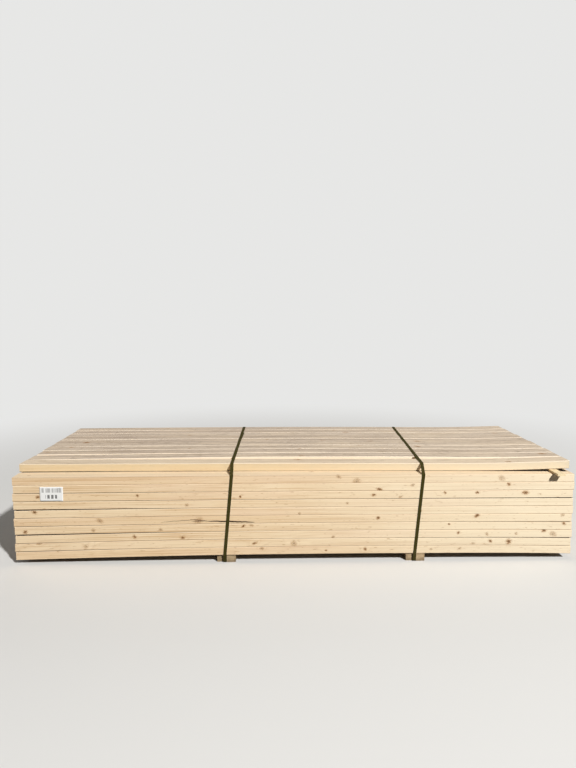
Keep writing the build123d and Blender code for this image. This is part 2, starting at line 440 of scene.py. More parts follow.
# Stretch along each axis, detail and roughness of every grain of the wood.
GRAINS = {
    "rag": ((130.0, 330.0, 330.0), 3.0, 0.7),
    "fibre": ((5.0, 420.0, 420.0), 3.0, 0.6),
    "streak": ((1.1, 70.0, 70.0), 4.0, 0.6),
    "line": ((1.7, 190.0, 190.0), 2.0, 0.5),
    "cloud": ((3.5, 12.0, 12.0), 3.0, 0.55),
    "fleck": ((34.0, 210.0, 210.0), 2.0, 0.5),
    "patch": ((2.2, 16.0, 1.0), 4.0, 0.6),
    "smudge": ((9.0, 60.0, 1.0), 4.0, 0.7),
    "mark": ((24.0, 110.0, 1.0), 3.0, 0.6),
    "check": ((0.4, 36.0, 160.0), 2.0, 0.5),
    "saw": ((1.0, 30.0, 420.0), 2.0, 0.5),
}


@dataclass(frozen=True)
class StudColours:
    """Colours of planed softwood, and the sizes of its rings and knots."""

    pale: str = "f1ddbb"
    tan: str = "e5caa3"
    blush: str = "e7c9aa"
    latewood: str = "c69f72"
    weathered: str = "c5b3a1"
    shadow: str = "1e140b"
    ring_width: float = 0.0042
    knot_share: float = 0.66


class StudGraph(ShaderGraph):
    """Planed softwood of one course, with growth rings, fibres, knots and end grain."""

    def __init__(self, name: str, number: int, colours: StudColours) -> None:
        """Read the studs' attributes and make their grains, knots and rings.

        Args:
            name: Name of the material.
            number: Number of the course, from the bottom.
            colours: Colours of the wood.
        """
        super().__init__(name)
        self.number = number
        self.colours = colours
        self.local = self.attribute("along")
        self.luck = self.attribute("luck")
        self.luck_x, self.luck_y, self.luck_z = self.split(self.luck)
        self.place = self.attribute("place", "Fac")
        self.world_x, self.world_y, self.world_z = self.split(self.object_place())
        normal = self.node("ShaderNodeNewGeometry").outputs["Normal"]
        normal_x, self.normal_y, self.normal_z = self.split(normal)
        self.end_face = self.spread(self.math("ABSOLUTE", normal_x), 0.75, 0.9)
        self.up_face = self.spread(self.normal_z, 0.7, 0.9)
        front = self.spread(self.normal_y, -0.75, -0.9)
        self.front_face = self.mul(front, self.math("LESS_THAN", self.world_y, -0.25))
        self.shifted = self.vector("ADD", self.local, self.vector("SCALE", self.luck, scale=23.0))
        self.grains = {grain: self.grain(self.shifted, *row) for grain, row in GRAINS.items()}
        self.near, self.dark = self.knots()
        self.ragged = self.mad(self.sub(self.grains["rag"], 0.5), 3.2, self.near)
        self.tone, self.swell, self.drift = self.rings()
        check = self.spread(self.grains["check"], 0.70, 0.76)
        self.check = self.mul(check, self.end_face)

    def along(self, values: tuple[float, float, float]) -> Socket:
        """Pass from a value at the left end to one in the middle and one at the right end."""
        left = self.spread(self.world_x, -1.0, -0.2, values[0] - values[1], 0.0)
        right = self.spread(self.world_x, 0.2, 1.0, 0.0, values[2] - values[1])
        return self.add(left, right, values[1])

    @staticmethod
    def knot_group() -> bpy.types.NodeTree:
        """Return the shared group that adds one knot to those found so far.

        Returns:
            A group that takes a place, a knot and the two results so far, and gives the
            nearest knot's distance in radii and its depth.
        """
        existing = bpy.data.node_groups.get("Front knot")
        if existing:
            return existing
        group = bpy.data.node_groups.new("Front knot", "ShaderNodeTree")
        results = ("Nearest", "Darkness")
        vectors, floats = ("Place", "Centre", "Stretch"), ("Tilt", "Radius", "Depth") + results
        for names, in_out, kind in (
            (vectors, "INPUT", "Vector"),
            (floats, "INPUT", "Float"),
            (results, "OUTPUT", "Float"),
        ):
            for name in names:
                group.interface.new_socket(name=name, in_out=in_out, socket_type=f"NodeSocket{kind}")
        graph = Graph(group)
        given = graph.node("NodeGroupInput").outputs
        away = graph.vector("SUBTRACT", given["Place"], given["Centre"])
        turn = {"Vector": away, "Center": (0.0, 0.0, 0.0), "Angle": given["Tilt"]}
        away = graph.out("ShaderNodeVectorRotate", turn, rotation_type="Y_AXIS")
        away = graph.vector("MULTIPLY", away, given["Stretch"])
        reach = graph.div(graph.vector("LENGTH", away), given["Radius"])
        nearer = graph.math("LESS_THAN", reach, given["Nearest"])
        kept = graph.mul(graph.sub(1.0, nearer), given["Darkness"])
        result = graph.node("NodeGroupOutput")
        graph.fill(result.inputs["Nearest"], graph.least(reach, given["Nearest"]))
        graph.fill(result.inputs["Darkness"], graph.add(graph.mul(nearer, given["Depth"]), kept))
        return group

    def front_knots(self, wander: Socket) -> tuple[object, object]:
        """Add the knots that lie on the front of the course.

        Args:
            wander: Small offsets that make the outlines uneven.

        Returns:
            Distance to the nearest knot in radii, and that knot's darkness.
        """
        place = self.vector("ADD", self.object_place(), wander)
        nearest, darkness = 99.0, 0.0
        for knot in (Knot(*values) for values in FRONT_KNOTS.get(self.number, ())):
            values = {
                "Place": place,
                "Centre": (knot.x * MM, FRONT_Y * MM, knot.z * MM),
                "Stretch": (knot.stretch, 0.25, 1.0),
                "Tilt": knot.tilt,
                "Radius": self.colours.knot_share * knot.radius * MM,
                "Depth": knot.kind.value,
                "Nearest": nearest,
                "Darkness": darkness,
            }
            made = self.node("ShaderNodeGroup", node_tree=self.knot_group())
            for name, value in values.items():
                self.fill(made.inputs[name], value)
            nearest, darkness = made.outputs["Nearest"], made.outputs["Darkness"]
        return nearest, darkness

    def stray_knots(self, wander: Socket) -> tuple[Socket, Socket]:
        """Add knots at random places inside each stud.

        Args:
            wander: Small offsets that make the outlines uneven.

        Returns:
            Distance to the nearest knot in radii, and that knot's darkness.
        """
        cell = (0.31, 0.12, 0.09)
        place = self.vector("ADD", self.local, self.vector("SCALE", self.luck, scale=41.0))
        place = self.vector("ADD", place, wander)
        inputs = {"Vector": self.vector("DIVIDE", place, cell), "Scale": 1.0}
        cells = self.node("ShaderNodeTexVoronoi", inputs, feature="F1")
        centre = self.vector("MULTIPLY", cells.outputs["Position"], cell)
        away = self.vector("MULTIPLY", self.vector("SUBTRACT", place, centre), (0.7, 1.0, 0.45))
        chance, size, depth = self.split(cells.outputs["Color"])
        radius = self.spread(size, 0.0, 1.0, 0.004, 0.010)
        radius = self.most(self.mul(radius, self.math("GREATER_THAN", chance, 0.58)), 0.00001)
        reach = self.div(self.vector("LENGTH", away), radius)
        return reach, self.spread(depth, 0.0, 1.0, 0.25, 0.8)

    def knots(self) -> tuple[Socket, Socket]:
        """Join the placed knots of the front with the random ones of the other faces.

        Returns:
            Distance to the nearest knot in radii, and that knot's darkness.
        """
        wander = self.noise(self.stretch(self.shifted, (55.0, 90.0, 90.0)), 1.0, 2.0, colour=True)
        wander = self.vector("SCALE", self.vector("SUBTRACT", wander, (0.5, 0.5, 0.5)), scale=0.008)
        near_a, dark_a = self.front_knots(wander)
        near_b, dark_b = self.stray_knots(wander)
        near_b = self.add(near_b, self.mul(self.front_face, 50.0))
        first = self.math("LESS_THAN", near_a, near_b)
        dark = self.add(dark_b, self.mul(first, self.sub(dark_a, dark_b)))
        return self.least(near_a, near_b), dark

    def rings(self) -> tuple[Socket, Socket, Socket]:
        """Cut the growth rings of a tree whose pith lies at a random place outside the stud.

        Returns:
            Tone of the rings, their swell round the knots, and a slow drift for the colour.
        """
        x, y, z = self.split(self.local)
        slow = self.noise(self.stretch(self.shifted, (1.6, 9.0, 9.0)), 1.0, 3.0, colour=True)
        slow_x, slow_y, drift = self.split(self.vector("SUBTRACT", slow, (0.5, 0.5, 0.5)))
        pith_y = self.sub(y, self.spread(self.luck_x, 0.0, 1.0, -0.11, 0.11))
        pith_z = self.add(z, self.spread(self.luck_y, 0.0, 1.0, 0.005, 0.10))
        pith = self.join(0.0, self.mad(slow_x, 0.030, pith_y), self.mad(slow_y, 0.030, pith_z))
        slant = self.spread(self.luck_z, 0.0, 1.0, -0.012, 0.012)
        away = self.mad(x, slant, self.vector("LENGTH", pith))
        swell = self.math("POWER", 2.718, self.mul(self.near, -0.55))
        turns = self.div(self.mad(swell, 0.010, away), self.colours.ring_width)
        tone = self.ramp(self.math("FRACT", turns), [(0.0, 0.0), (0.55, 0.22), (0.86, 1.0), (1.0, 0.0)])
        year = self.join(self.math("FLOOR", turns), self.luck_x, self.luck_y)
        year = self.spread(self.noise(year, 3.1, 0.0), 0.25, 0.75, 0.25, 1.0)
        return self.mul(tone, year), swell, drift

    def wood(self) -> Socket:
        """Return the colour of the fresh wood."""
        grain = self.grains
        tan, blush, latewood = self.colours.tan, self.colours.blush, self.colours.latewood
        kinds = [(0.0, tan), (0.35, self.colours.pale), (0.7, tan), (1.0, blush)]
        base = self.tints(
            self.ramp(self.luck_z, kinds),
            (grain["cloud"], 0.35, 0.70, 0.65, tan),
            (self.drift, -0.05, 0.25, 0.50, blush),
            (grain["streak"], 0.48, 0.75, 0.36, latewood),
            (grain["line"], 0.54, 0.66, 0.42, "b98c5a"),
        )
        shown = self.mul(self.tone, self.spread(self.end_face, 0.0, 1.0, 0.30, 0.62))
        base = self.tint(base, self.mul(shown, self.mad(self.swell, 1.4, 1.0)), latewood)
        base = self.tints(base, (grain["fibre"], 0.35, 0.75, 0.18, "a87f4e"))
        paler = self.mul(self.spread(self.world_x, -0.5, 1.4, 0.0, 0.62), self.front_face)
        base = self.tint(base, paler, "ede1c6")
        return self.tints(base, (grain["fleck"], 0.63, 0.76, 0.60, "a07446"))

    def top_fronts(self, base: Socket) -> Socket:
        """Paint shade on the front of the top course's first stud and paint light on the fronts behind it.
        """
        facing = self.spread(self.normal_y, -0.3, -0.6)
        # Painted light: the fronts of the studs behind the first are paled.
        behind = self.mul(facing, self.spread(self.place, 0.4, 0.6, 0.0, 0.6))
        # Painted shade: the first stud's front is mixed towards a darker tone.
        ahead = self.mul(facing, self.spread(self.place, 0.6, 0.4, 0.0, 0.80))
        shaded = self.mix(self.spread(self.world_x, -0.6, 1.2), srgb("cdb893"), srgb("d3c4a9"))
        return self.mix(ahead, self.tint(base, behind, "f3e6d0"), shaded)

    def upper_faces(self, base: Socket, weather: float) -> Socket:
        """Grey the faces that look up.

        Args:
            base: Colour so far.
            weather: How grey the upper faces are, from 0 to 1.

        Returns:
            The colour.
        """
        grain = self.grains
        old = self.tints(
            srgb(self.colours.weathered),
            (grain["streak"], 0.40, 0.62, 0.90, "9f8d7d"),
            (self.luck_x, 0.2, 0.9, 0.60, "cfbfac"),
            (grain["line"], 0.51, 0.60, 0.75, "7f6958"),
            (grain["line"], 0.46, 0.36, 0.45, "e3d2bb"),
            (self.world_x, -0.6, 1.2, 0.45, "cabaa6"),
            (grain["smudge"], 0.55, 0.66, 0.60, "715d4b"),
            (grain["mark"], 0.58, 0.66, 0.65, "645344"),
            (self.place, 2.0, 9.0, 0.15, "e6d7c6"),
        )
        grey = self.mul(self.spread(grain["patch"], 0.25, 0.62, 0.62, 1.0), weather)
        grey = self.mul(grey, self.spread(self.place, 0.0, 1.0, 0.62, 1.0), self.up_face)
        base = self.tint(base, self.mul(self.up_face, 0.55), "f3e0c2")
        return self.mix(grey, base, old)

    def shade_under_top_course(self) -> Socket:
        """Return 1 just behind the front of the top course's first stud, where shade is painted, 0
        elsewhere.
        """
        u = self.div(self.world_x, BOARD_LENGTH * MM / 2)
        ledge = [(FRONT_Y + depth) * MM for depth in Stack.top_ledges]
        hump = self.mul(self.sub(1.0, self.mul(u, u)), self.mad(u, BOW_SKEW, 1.0))
        front = self.mad(hump, Stack.top_bows[0] * MM, self.spread(u, -1.0, 1.0, *ledge))
        return self.window(self.sub(self.world_y, front), 0.002, 0.005, 0.060, 0.065)

    def paint_light_and_shade(self, base: Socket) -> Socket:
        """Paint a highlight on the eased edges, and paint shade into the seam under the course and onto
        what other courses cover.

        Args:
            base: Colour so far.

        Returns:
            The colour.
        """
        edge_z = self.split(self.local)[2]
        # Painted highlight: the eased edges are paled, most on the top course.
        rim = self.window(self.normal_z, 0.1, 0.4, 0.85, 0.96)
        rim_highlight_share = 0.65 if self.number > FULL_COURSES else 0.2
        base = self.tint(base, self.mul(rim, rim_highlight_share), "f5ead9")
        strength = self.along(SEAM_SHADES[self.number])
        # Painted shade: the lower edge of the course's front is darkened along the seam under it.
        under = self.mul(
            self.spread(edge_z, -0.0158, -0.0180),
            self.sub(1.0, self.up_face),
            self.spread(self.grains["cloud"], 0.35, 0.60, 0.45, 0.85),
            self.math("POWER", strength, 0.8),
            1.15,
        )
        # Colour of the seam's painted shade, from brown to the shadow colour as it gets stronger.
        ink = self.mix(self.spread(strength, 0.4, 0.9), srgb("6b4d30"), srgb(self.colours.shadow))
        base = self.mix(self.least(under, 1.0), base, ink)
        inner = self.window(self.world_x, -1.322, -1.320, 1.320, 1.322)
        level = self.spread(self.normal_z, 0.90, 0.96)
        # Painted shade on the top faces that the course above covers, as strong as that course's seam.
        if self.number < FULL_COURSES:
            buried_shade = self.mul(level, inner, self.along(SEAM_SHADES[self.number + 1]))
            base = self.tint(base, buried_shade, self.colours.shadow)
        if self.number == FULL_COURSES:
            # Painted shade on the tenth course's top just behind the top course's first stud.
            shade_under_top_course = self.mul(self.shade_under_top_course(), inner, level, 0.95)
            base = self.tint(base, shade_under_top_course, self.colours.shadow)
            # Painted shade: a dark line along the tenth course's front-top edge, strongest at the left end.
            edge = self.mul(rim, self.spread(self.world_x, 0.2, 0.7, 0.60, 0.1))
            base = self.tint(base, edge, "7d5d3b")
        return base

    def knot_marks(self, base: Socket) -> Socket:
        """Draw the halo, the whorl, the eye and the core of each knot, then the splits.

        Args:
            base: Colour so far.

        Returns:
            The colour.
        """
        dark, ragged = self.dark, self.ragged
        halo = self.mul(self.spread(ragged, 1.9, 1.0, 0.0, 0.34), dark)
        wave = self.mad(self.math("SINE", self.mul(ragged, 7.5)), 0.5, 0.5)
        whorl = self.mul(self.math("POWER", wave, 2.5), self.spread(self.near, 2.2, 1.3, 0.0, 0.95))
        whorl = self.mul(whorl, self.spread(dark, 0.0, 0.4, 0.4, 0.85))
        eye = self.mul(self.spread(ragged, 1.10, 0.85), self.spread(dark, 0.30, 0.8, 0.12, 1.0))
        core = self.least(self.mul(self.spread(ragged, 0.70, 0.40), dark), 0.95)
        for share, code in ((halo, "c79762"), (whorl, "94673a"), (eye, "8f6438"), (core, "37200f")):
            base = self.tint(base, share, code)
        for values in FRONT_SPLITS.get(self.number, ()):
            base = self.tint(base, Split(*values).share(self), "2e1c10")
        return base

    def ends(self, base: Socket) -> Socket:
        """Draw the end grain, and the light that the lowest course catches at its foot.

        Args:
            base: Colour so far.

        Returns:
            The colour.
        """
        face = self.end_face
        sawn = self.mul(face, self.spread(self.grains["saw"], 0.4, 0.7, 0.0, 0.22))
        for share, code in (
            (self.mul(face, 0.22), "c79a66"),
            (self.mul(face, self.tone, 0.55), "8a6238"),
            (sawn, "e8d2ac"),
            (self.check, "6b4a2c"),
            (self.spread(self.world_z, 0.048, 0.030, 0.0, 0.25), "f0d2b0"),
        ):
            base = self.tint(base, share, code)
        return base

    def build(self, weather: float) -> bpy.types.Material:
        """Lay all colours over one another and return the material.

        Args:
            weather: How grey the upper faces are, from 0 to 1.

        Returns:
            The material.
        """
        base = self.wood()
        if self.number > FULL_COURSES:
            base = self.top_fronts(base)
        base = self.upper_faces(base, weather)
        base = self.ends(self.knot_marks(self.paint_light_and_shade(base)))
        fibre = self.grains["fibre"]
        height = self.mad(fibre, 0.6, self.mul(self.tone, 0.35))
        height = self.sub(height, self.mul(self.check, 0.8))
        rough = self.spread(fibre, 0.3, 0.7, 0.62, 0.82)
        return self.finish(base, rough, height, relief=0.0005, strength=0.55, Specular_IOR_Level=0.18)


@dataclass(frozen=True)
class RoughSawnFinish:
    """Sawn softwood that has stood on the ground."""

    pale: str = "c9b18c"
    dark: str = "8f7a5c"
    dirt: str = "6f604c"
    ring_centre: tuple[float, float, float] = (0.0, 0.0, 0.02)

    def material(self, name: str) -> bpy.types.Material:
        """Make the material.

        Args:
            name: Name of the material.

        Returns:
            The material.
        """
        graph = ShaderGraph(name)
        place = graph.object_place()
        away = graph.vector("SUBTRACT", place, self.ring_centre)
        x, y, z = graph.split(away)
        wobble = graph.grain(place, (18.0, 2.0, 18.0), 2.0)
        aside = graph.sub(graph.math("ABSOLUTE", x), 0.060)
        reach = graph.vector("LENGTH", graph.join(aside, 0.0, z))
        reach = graph.mad(wobble, 0.014, reach)
        turns = graph.math("FRACT", graph.div(reach, 0.0038))
        ring = graph.ramp(turns, [(0.0, 0.0), (0.8, 1.0), (1.0, 0.0)])
        fibre = graph.grain(place, (260.0, 6.0, 260.0), 3.0, 0.6)
        cloud = graph.grain(place, (22.0, 4.0, 30.0), 4.0, 0.6)
        saw = graph.math("SINE", graph.mul(graph.add(y, graph.mul(z, 0.25)), 1400.0))
        base = graph.mix(graph.spread(cloud, 0.3, 0.7), srgb(self.pale), srgb(self.dark))
        base = graph.tint(base, graph.mul(ring, 0.3), self.dark)
        base = graph.tint(base, graph.spread(fibre, 0.4, 0.8, 0.0, 0.3), self.dirt)
        low = graph.spread(graph.split(place)[2], 0.022, 0.0, 0.0, 0.65)
        base = graph.tint(base, graph.mul(low, graph.spread(cloud, 0.2, 0.6)), self.dirt)
        height = graph.mad(saw, 0.12, fibre)
        return graph.finish(base, 0.86, height, relief=0.0008, strength=0.6, Specular_IOR_Level=0.2)


@dataclass(frozen=True)
class StrapFinish:
    """Dark olive plastic strapping, embossed with a fine diamond pattern."""

    colour: str = "3a3518"
    light: str = "544e2b"
    pitch: float = 0.0022

    def material(self, name: str) -> bpy.types.Material:
        """Make the material.

        Args:
            name: Name of the material.

        Returns:
            The material.
        """
        graph = ShaderGraph(name)
        place = graph.object_place()
        x, y, z = graph.split(place)
        run = graph.add(y, z)
        turn = 2 * pi / self.pitch
        first = graph.math("SINE", graph.mul(graph.add(x, run), turn))
        second = graph.math("SINE", graph.mul(graph.sub(x, run), turn))
        emboss = graph.mad(graph.mul(first, second), 0.5, 0.5)
        scuff = graph.grain(place, (300.0, 24.0, 24.0), 3.0, 0.65)
        dust = graph.noise(place, 14.0, 3.0)
        base = graph.mix(graph.spread(scuff, 0.52, 0.8, 0.0, 0.55), srgb(self.colour), srgb(self.light))
        base = graph.tint(base, graph.spread(dust, 0.45, 0.8, 0.0, 0.18), "5b5640")
        base = graph.tint(base, graph.mul(emboss, 0.18), self.light)
        rough = graph.spread(scuff, 0.3, 0.7, 0.74, 0.88)
        return graph.finish(base, rough, emboss, relief=0.0003, strength=0.5, Specular_IOR_Level=0.03)


@dataclass(frozen=True)
class PaperFinish:
    """White tag stock with plain grey bars and darker blocks."""

    paper: str = "e9e8e4"
    ink: str = "9b9a97"

    def material(
        self, name: str, low: tuple[float, float], size: tuple[float, float]
    ) -> bpy.types.Material:
        """Make the material.

        Args:
            name: Name of the material.
            low: X and Z of the tag's lower left corner, in metres.
            size: Width and height of the tag, in metres.

        Returns:
            The material.
        """
        graph = ShaderGraph(name)
        place = graph.object_place()
        x, _, z = graph.split(place)
        across = graph.div(graph.sub(x, low[0]), size[0])
        up = graph.div(graph.sub(z, low[1]), size[1])
        inside = graph.window(across, 0.08, 0.085, 0.915, 0.92)
        band = graph.window(up, 0.60, 0.605, 0.895, 0.90)
        column = graph.math("FLOOR", graph.mul(across, 62.0))
        cells = graph.noise(graph.join(column, 7.0, 0.0), 5.3, 0.0)
        bars = graph.mul(graph.math("GREATER_THAN", cells, 0.47), graph.mul(inside, band))
        narrow = graph.window(across, 0.24, 0.245, 0.735, 0.74)
        rule = graph.window(up, 0.17, 0.175, 0.435, 0.44)
        stripe = graph.math("GREATER_THAN", graph.math("SINE", graph.mul(across, 38.0)), -0.35)
        fibre = graph.noise(place, 900.0, 2.0)
        base = graph.mix(graph.spread(fibre, 0.3, 0.8, 0.0, 0.12), srgb(self.paper), srgb("cfcabd"))
        base = graph.tint(base, graph.mul(bars, 0.75), self.ink)
        base = graph.tint(base, graph.mul(narrow, rule, stripe, 0.85), "4b4a49")
        return graph.finish(base, 0.62, fibre, relief=0.0001, strength=0.3, Specular_IOR_Level=0.35)


@dataclass(frozen=True)
class StapleFinish:
    """Galvanised staple wire."""

    colour: str = "8f9091"

    def material(self, name: str) -> bpy.types.Material:
        """Make the material and return it."""
        graph = ShaderGraph(name)
        place = graph.object_place()
        tone = graph.noise(place, 700.0, 3.0)
        base = graph.mix(graph.spread(tone, 0.3, 0.7), srgb(self.colour), srgb("6b6a68"))
        return graph.finish(base, graph.spread(tone, 0.3, 0.7, 0.3, 0.5), Metallic=1.0)


class BoardTree(Graph):
    """Geometry Nodes that lay equal boards on a set of points, with an input for every size."""

    name: str = "Laid boards"
    ease: float = 2.6
    left_lean: float = 0.52
    right_lean: float = 0.08
    lengths: int = 36
    edge_steps: int = 3

    def __init__(self) -> None:
        """Build the tree."""
        super().__init__(bpy.data.node_groups.new(self.name, "GeometryNodeTree"))
        self.add_sockets()
        self.given = self.node("NodeGroupInput").outputs
        self.lay(self.bend(self.board()))

    @classmethod
    def shared(cls) -> bpy.types.NodeTree:
        """Return the tree, which is built only once."""
        return bpy.data.node_groups.get(cls.name) or cls().tree

    def add_socket(self, name: str, kind: str, value: object = None, in_out: str = "INPUT") -> None:
        """Add a socket of one kind to the tree, with a default where it has one."""
        socket_type = f"NodeSocket{kind}"
        socket = self.tree.interface.new_socket(name=name, in_out=in_out, socket_type=socket_type)
        if value is not None:
            socket.default_value = value

    def add_sockets(self) -> None:
        """Add the inputs and the output of the tree."""
        sizes = {
            "Length": BOARD_LENGTH,
            "Width": BOARD_WIDTH,
            "Thickness": BOARD_THICKNESS,
            "Eased Edge": self.ease,
            "Left Seat": LEFT_SEAT_X,
            "Right Seat": RIGHT_SEAT_X,
            "Lift Start": LIFT_START_X,
            "Lift Run": LIFT_RUN,
        }
        shares = {"Left Lean": self.left_lean, "Right Lean": self.right_lean, "Bow Skew": BOW_SKEW}
        values = {name: size * MM for name, size in sizes.items()} | shares
        values |= dict.fromkeys(("Left Sag", "Right Sag", "Crown", "Lift"), 0.0)
        self.add_socket("Geometry", "Geometry")
        for name, value in values.items():
            self.add_socket(name, "Float", value)
        for name, count in (("Lengths", self.lengths), ("Edge Steps", self.edge_steps), ("Seed", 1)):
            self.add_socket(name, "Int", count)
        self.add_socket("Finish", "Material")
        self.add_socket("Geometry", "Geometry", in_out="OUTPUT")

    def lay(self, board: Socket) -> None:
        """Lay the board on every point, bow the boards and give them their finish.

        Args:
            board: Geometry of one bent board.
        """
        given = self.given
        luck = self.out("FunctionNodeRandomValue", {"Seed": given["Seed"]}, data_type="FLOAT_VECTOR")
        points = self.store(given["Geometry"], "luck", luck)
        turn = self.join(0.0, 0.0, self.named("turn", "FLOAT"))
        laid = {"Points": points, "Instance": board, "Rotation": turn}
        laid = self.out("GeometryNodeInstanceOnPoints", laid)
        real = self.bow(self.out("GeometryNodeRealizeInstances", {"Geometry": laid}))
        flat = self.out("GeometryNodeSetShadeSmooth", {"Geometry": real, "Shade Smooth": False})
        done = self.out("GeometryNodeSetMaterial", {"Geometry": flat, "Material": given["Finish"]})
        self.fill(self.node("NodeGroupOutput").inputs[0], done)

    def named(self, name: str, kind: str) -> Socket:
        """Return a stored attribute of this kind."""
        return self.out("GeometryNodeInputNamedAttribute", {"Name": name}, data_type=kind)

    def store(self, geometry: Socket, name: str, value: Socket) -> Socket:
        """Store a vector on the points of a geometry and return the geometry."""
        inputs = {"Geometry": geometry, "Name": name, "Value": value}
        settings = {"data_type": "FLOAT_VECTOR", "domain": "POINT"}
        return self.out("GeometryNodeStoreNamedAttribute", inputs, **settings)

    def shift(self, geometry: Socket, y: object, z: object) -> Socket:
        """Move each point of a geometry along Y and Z."""
        inputs = {"Geometry": geometry, "Offset": self.join(0.0, y, z)}
        return self.out("GeometryNodeSetPosition", inputs)

    def bow(self, boards: Socket) -> Socket:
        """Push each board back in plan by its own bow, most of it right of the middle.

        Args:
            boards: Geometry of the laid boards.

        Returns:
            The bowed boards.
        """
        amount = self.named("bow", "FLOAT")
        local = self.named("along", "FLOAT_VECTOR")
        half = self.mul(self.given["Length"], 0.5)
        u = self.div(self.split(local)[0], half)
        arch = self.sub(1.0, self.mul(u, u))
        arch = self.mul(arch, self.mad(u, self.given["Bow Skew"], 1.0))
        return self.shift(boards, self.mul(arch, amount), 0.0)

    def board(self) -> Socket:
        """Make one straight board, its front edge on Y 0 and its underside on Z 0.

        Returns:
            The board's geometry, with its local place stored as "along".
        """
        half = self.mul(self.given["Length"], 0.5)
        start = self.join(self.mul(half, -1.0))
        line = self.out("GeometryNodeCurvePrimitiveLine", {"Start": start, "End": self.join(half)})
        count = self.add(self.given["Lengths"], 1.0)
        line = self.out("GeometryNodeResampleCurve", {"Curve": line, "Count": count})
        given = self.given
        sides = {"Width": given["Width"], "Height": given["Thickness"]}
        section = self.out("GeometryNodeCurvePrimitiveQuadrilateral", sides)
        edges = {"Curve": section, "Count": given["Edge Steps"], "Radius": given["Eased Edge"]}
        section = self.out("GeometryNodeFilletCurve", edges | {"Limit Radius": True}, mode="POLY")
        swept = {"Curve": line, "Profile Curve": section, "Fill Caps": True}
        solid = self.out("GeometryNodeCurveToMesh", swept)
        kept = self.store(solid, "along", self.out("GeometryNodeInputPosition"))
        width = self.mul(given["Width"], 0.5)
        return self.shift(kept, width, self.mul(given["Thickness"], 0.5))

    def bend(self, board: Socket) -> Socket:
        """Bend a board over its two seats and over the lath.

        Args:
            board: Geometry of the straight board.

        Returns:
            The bent board.
        """
        x = self.split(self.out("GeometryNodeInputPosition"))[0]
        half = self.mul(self.given["Length"], 0.5)
        left_seat, right_seat = self.given["Left Seat"], self.given["Right Seat"]

        def fall(side: str, past: Socket, reach: Socket) -> Socket:
            """Return how far an overhanging end has sagged at this X."""
            sag, lean = self.given[f"{side} Sag"], self.given[f"{side} Lean"]
            share = self.least(self.most(self.div(past, reach), 0.0), 1.0)
            curved = self.mul(self.sub(1.0, lean), self.mul(share, share))
            return self.mul(sag, self.add(self.mul(lean, share), curved))

        left = fall("Left", self.sub(left_seat, x), self.add(half, left_seat))
        right = fall("Right", self.sub(x, right_seat), self.sub(half, right_seat))
        span = self.mul(self.sub(right_seat, left_seat), 0.5)
        middle = self.mul(self.add(right_seat, left_seat), 0.5)
        along = self.div(self.sub(x, middle), span)
        arch = self.most(self.sub(1.0, self.mul(along, along)), 0.0)
        arch = self.mul(arch, self.given["Crown"])
        past = self.div(self.sub(x, self.given["Lift Start"]), self.given["Lift Run"])
        past = self.most(past, 0.0)
        near = self.least(past, 1.0)
        rest = self.mul(self.sub(past, near), 2.0)
        rise = self.mul(self.given["Lift"], self.mad(near, near, rest))
        height = self.sub(self.add(arch, rise), self.add(left, right))
        return self.shift(board, 0.0, height)


@dataclass
class Layer:
    """One layer of boards, laid by the board tree on its own points."""

    node: str
    number: int
    base_z: float
    fronts_left: tuple[float, ...]
    fronts_right: tuple[float, ...]
    weather: float = 0.0
    drops: tuple[float, ...] = ()
    bows: tuple[float, ...] = ()
    sizes: dict[str, float] = field(default_factory=dict)

    @staticmethod
    def stagger(course: int, place: int) -> float:
        """Return how far a board sticks out along X, from the frame's pattern."""
        steps = 11
        return END_STAGGER * (2 * ((7 * course + 5 * place) % steps) / (steps - 1) - 1)

    def points(self) -> bpy.types.Object:
        """Make the points that the boards are laid on.

        Returns:
            An object whose vertices are the boards' front edges at mid-length.
        """
        places, turns = [], []
        for place, (left, right) in enumerate(zip(self.fronts_left, self.fronts_right)):
            drop = self.drops[place] if self.drops else 0.0
            y = (left + right) / 2 + FRONT_Y
            places.append((self.stagger(self.number, place) * MM, y * MM, (self.base_z - drop) * MM))
            turns.append(atan2(right - left, BOARD_LENGTH))
        mesh = bpy.data.meshes.new(f"{self.node}_points")
        mesh.from_pydata(places, [], [])
        bows = [bow * MM for bow in self.bows or (0.0,) * len(places)]
        order = [float(place) for place in range(len(places))]
        for name, values in (("turn", turns), ("bow", bows), ("place", order)):
            mesh.attributes.new(name, "FLOAT", "POINT").data.foreach_set("value", values)
        return add_object(mesh.name, mesh)

    def build(self, colours: StudColours) -> bpy.types.Object:
        """Lay the boards and hand them to the frame.

        Args:
            colours: Colours of the boards.

        Returns:
            The boards as one plain mesh object.
        """
        tree = BoardTree.shared()
        points = self.points()
        material = StudGraph(f"stud_{self.node}", self.number, colours).build(self.weather)
        modifier = points.modifiers.new("boards", "NODES")
        modifier.node_group = tree
        values = {"Seed": self.number, "Finish": material} | self.sizes
        for item in tree.interface.items_tree:
            if item.item_type == "SOCKET" and item.in_out == "INPUT" and item.name in values:
                modifier[item.identifier] = values[item.name]
        boards = realise(points, f"boards_{self.node}")
        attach(boards, "root")
        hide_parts(self.node)
        return boards


def add_object(name: str, data: bpy.types.ID) -> bpy.types.Object:
    """Make an object with this data, link it to the scene and return it."""
    made = bpy.data.objects.new(name, data)
    bpy.context.scene.collection.objects.link(made)
    return made


def bake(work: bmesh.types.BMesh, name: str) -> bpy.types.Mesh:
    """Turn an edited mesh into a mesh of this name and return it."""
    mesh = bpy.data.meshes.new(name)
    work.normal_update()
    work.to_mesh(mesh)
    work.free()
    return mesh


